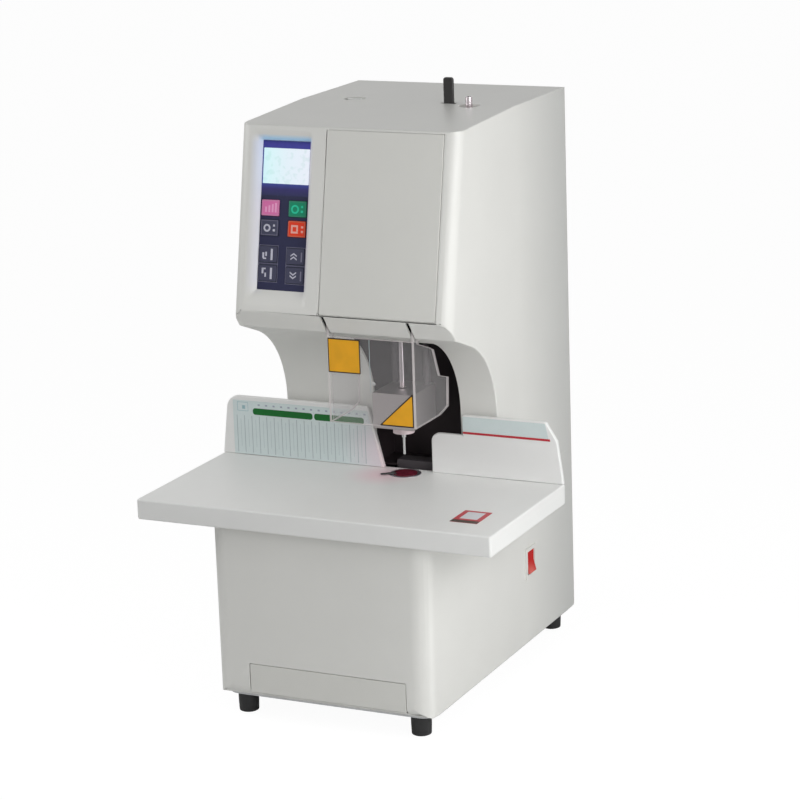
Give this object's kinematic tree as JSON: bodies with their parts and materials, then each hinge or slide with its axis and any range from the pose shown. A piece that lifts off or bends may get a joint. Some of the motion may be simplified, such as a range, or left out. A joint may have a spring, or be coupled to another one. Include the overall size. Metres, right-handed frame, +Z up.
{
  "type": "document riveting machine",
  "caption": "Desk machine that drills a stack of papers and rivets it, with a wide table, backstops, a clear guard and a key panel.",
  "frame": {"origin": "on the ground, below the centre of the whole object's footprint", "axes": "+Z up, +Y towards the machine's rear, +X to the right when seen from the front"},
  "size_m": [0.44, 0.454, 0.704],
  "materials": {
    "casing_white": "satin",
    "table_white": "satin",
    "panel_black": "gloss",
    "lcd_glow": "gloss",
    "clear_acrylic": "gloss",
    "black_plastic": "satin",
    "rubber_black": "matte",
    "steel": "satin",
    "chrome_steel": "gloss",
    "zinc_steel": "satin",
    "frame_iron": "matte",
    "aluminium": "satin",
    "brass": "satin",
    "board_green": "satin",
    "strip_pale": "satin",
    "pad_red": "satin",
    "rocker_red": "gloss",
    "key_pink": "satin",
    "key_green": "satin",
    "key_dark": "satin",
    "key_red": "satin"
  },
  "bodies": {
    "root": {"base_plate": "zinc_steel", "rubber_feet": "rubber_black", "foot_screws": "zinc_steel", "main_casing": "casing_white", "rear_cover": "casing_white", "rear_cover_screws": "zinc_steel", "front_cover": "casing_white", "throat_liner": "black_plastic", "work_table": "table_white", "left_backstop": "table_white", "right_backstop": "table_white", "backstop_screws": "zinc_steel", "ruler_strip": "strip_pale", "panel_frame": "casing_white", "key_panel": "panel_black", "lcd_module": "lcd_glow", "lcd_window": "clear_acrylic", "panel_board": "board_green", "c_frame": "frame_iron", "feed_motor": "black_plastic", "guide_rods": "chrome_steel", "anvil_ring": "aluminium", "lower_die": "steel", "power_supply": "zinc_steel", "control_board": "board_green", "board_standoffs": "brass", "mains_inlet": "black_plastic", "switch_frame": "black_plastic", "tube_guide": "chrome_steel", "lever_bracket": "zinc_steel", "lever_pin": "steel", "guard_bracket": "zinc_steel", "guard_pins": "steel", "tray_rails": "zinc_steel"},
    "guard": {"guard_box": "clear_acrylic"},
    "carriage": {"carriage_block": "aluminium", "spindle_motor": "zinc_steel", "drive_belt": "rubber_black"},
    "spindle": {"drill_spindle": "chrome_steel", "drill_bit": "steel", "spindle_pulley": "aluminium"},
    "motor_rotor": {"motor_pulley": "aluminium"},
    "presser": {"presser_block": "steel", "presser_foot": "aluminium", "presser_rods": "steel"},
    "feed": {"feed_screw": "steel"},
    "pad": {"cutting_pad": "pad_red", "pad_lever": "black_plastic"},
    "rocker": {"rocker_key": "rocker_red"},
    "lever": {"top_lever": "black_plastic"},
    "knob": {"top_knob": "table_white"},
    "tray": {"chip_tray": "casing_white"},
    "key_pink_cap": {"key_pink": "key_pink"},
    "key_green_cap": {"key_green": "key_green"},
    "key_dark_cap": {"key_dark": "key_dark"},
    "key_red_cap": {"key_red": "key_red"},
    "key_left_up_cap": {"key_left_up": "key_dark"},
    "key_left_down_cap": {"key_left_down": "key_dark"},
    "key_right_up_cap": {"key_right_up": "key_dark"},
    "key_right_down_cap": {"key_right_down": "key_dark"}
  },
  "joints": [
    {"name": "guard_tilt", "type": "hinge", "parent": "root", "child": "guard", "pos_m": [0.03, -0.112, 0.46524], "axis": [-1, 0, 0], "range_deg": [0, 30]},
    {"name": "carriage_slide", "type": "slide", "parent": "root", "child": "carriage", "axis": [0, 0, 1], "range_m": [-0.022, 0.033]},
    {"name": "drill_spin", "type": "hinge", "parent": "carriage", "child": "spindle", "pos_m": [0.028, -0.033, 0.353], "axis": [0, 0, 1], "continuous": true},
    {"name": "motor_spin", "type": "hinge", "parent": "carriage", "child": "motor_rotor", "pos_m": [0.028, 0.024, 0.56624], "axis": [0, 0, 1], "continuous": true},
    {"name": "presser_slide", "type": "slide", "parent": "root", "child": "presser", "axis": [0, 0, 1], "range_m": [-0.0465, 0]},
    {"name": "feed_turn", "type": "hinge", "parent": "root", "child": "feed", "pos_m": [0.082, -0.033, 0.44023], "axis": [0, 0, 1], "range_deg": [-800, 1195]},
    {"name": "pad_turn", "type": "hinge", "parent": "root", "child": "pad", "pos_m": [0.028, -0.033, 0.252], "axis": [0, 0, 1], "range_deg": [0, 40]},
    {"name": "switch_rock", "type": "hinge", "parent": "root", "child": "rocker", "pos_m": [0.134, 0.076, 0.126], "axis": [0, 1, 0], "range_deg": [0, 14]},
    {"name": "lever_swing", "type": "hinge", "parent": "root", "child": "lever", "pos_m": [0.053, 0.065, 0.65004], "axis": [0, 1, 0], "range_deg": [-7, 7]},
    {"name": "knob_turn", "type": "hinge", "parent": "root", "child": "knob", "pos_m": [-0.072, 0.0735, 0.66904], "axis": [0, 0, 1], "range_deg": [0, 90]},
    {"name": "tray_slide", "type": "slide", "parent": "root", "child": "tray", "axis": [0, -1, 0], "range_m": [0, 0.15]},
    {"name": "key_pink_press", "type": "slide", "parent": "root", "child": "key_pink_cap", "axis": [0, 0.9811, -0.1934], "range_m": [0, 0.0012], "stiffness_N_per_m": 400, "springref_m": -0.001},
    {"name": "key_green_press", "type": "slide", "parent": "root", "child": "key_green_cap", "axis": [0, 0.9811, -0.1934], "range_m": [0, 0.0012], "stiffness_N_per_m": 400, "springref_m": -0.001},
    {"name": "key_dark_press", "type": "slide", "parent": "root", "child": "key_dark_cap", "axis": [0, 0.9811, -0.1934], "range_m": [0, 0.0012], "stiffness_N_per_m": 400, "springref_m": -0.001},
    {"name": "key_red_press", "type": "slide", "parent": "root", "child": "key_red_cap", "axis": [0, 0.9811, -0.1934], "range_m": [0, 0.0012], "stiffness_N_per_m": 400, "springref_m": -0.001},
    {"name": "key_left_up_press", "type": "slide", "parent": "root", "child": "key_left_up_cap", "axis": [0, 0.9811, -0.1934], "range_m": [0, 0.0012], "stiffness_N_per_m": 400, "springref_m": -0.001},
    {"name": "key_left_down_press", "type": "slide", "parent": "root", "child": "key_left_down_cap", "axis": [0, 0.9811, -0.1934], "range_m": [0, 0.0012], "stiffness_N_per_m": 400, "springref_m": -0.001},
    {"name": "key_right_up_press", "type": "slide", "parent": "root", "child": "key_right_up_cap", "axis": [0, 0.9811, -0.1934], "range_m": [0, 0.0012], "stiffness_N_per_m": 400, "springref_m": -0.001},
    {"name": "key_right_down_press", "type": "slide", "parent": "root", "child": "key_right_down_cap", "axis": [0, 0.9811, -0.1934], "range_m": [0, 0.0012], "stiffness_N_per_m": 400, "springref_m": -0.001}
  ],
  "couplings": [
    {"joint": "motor_spin", "follows": "drill_spin", "ratio": 1},
    {"joint": "feed_turn", "follows": "carriage_slide", "rad_per_m": 628.32}
  ]
}
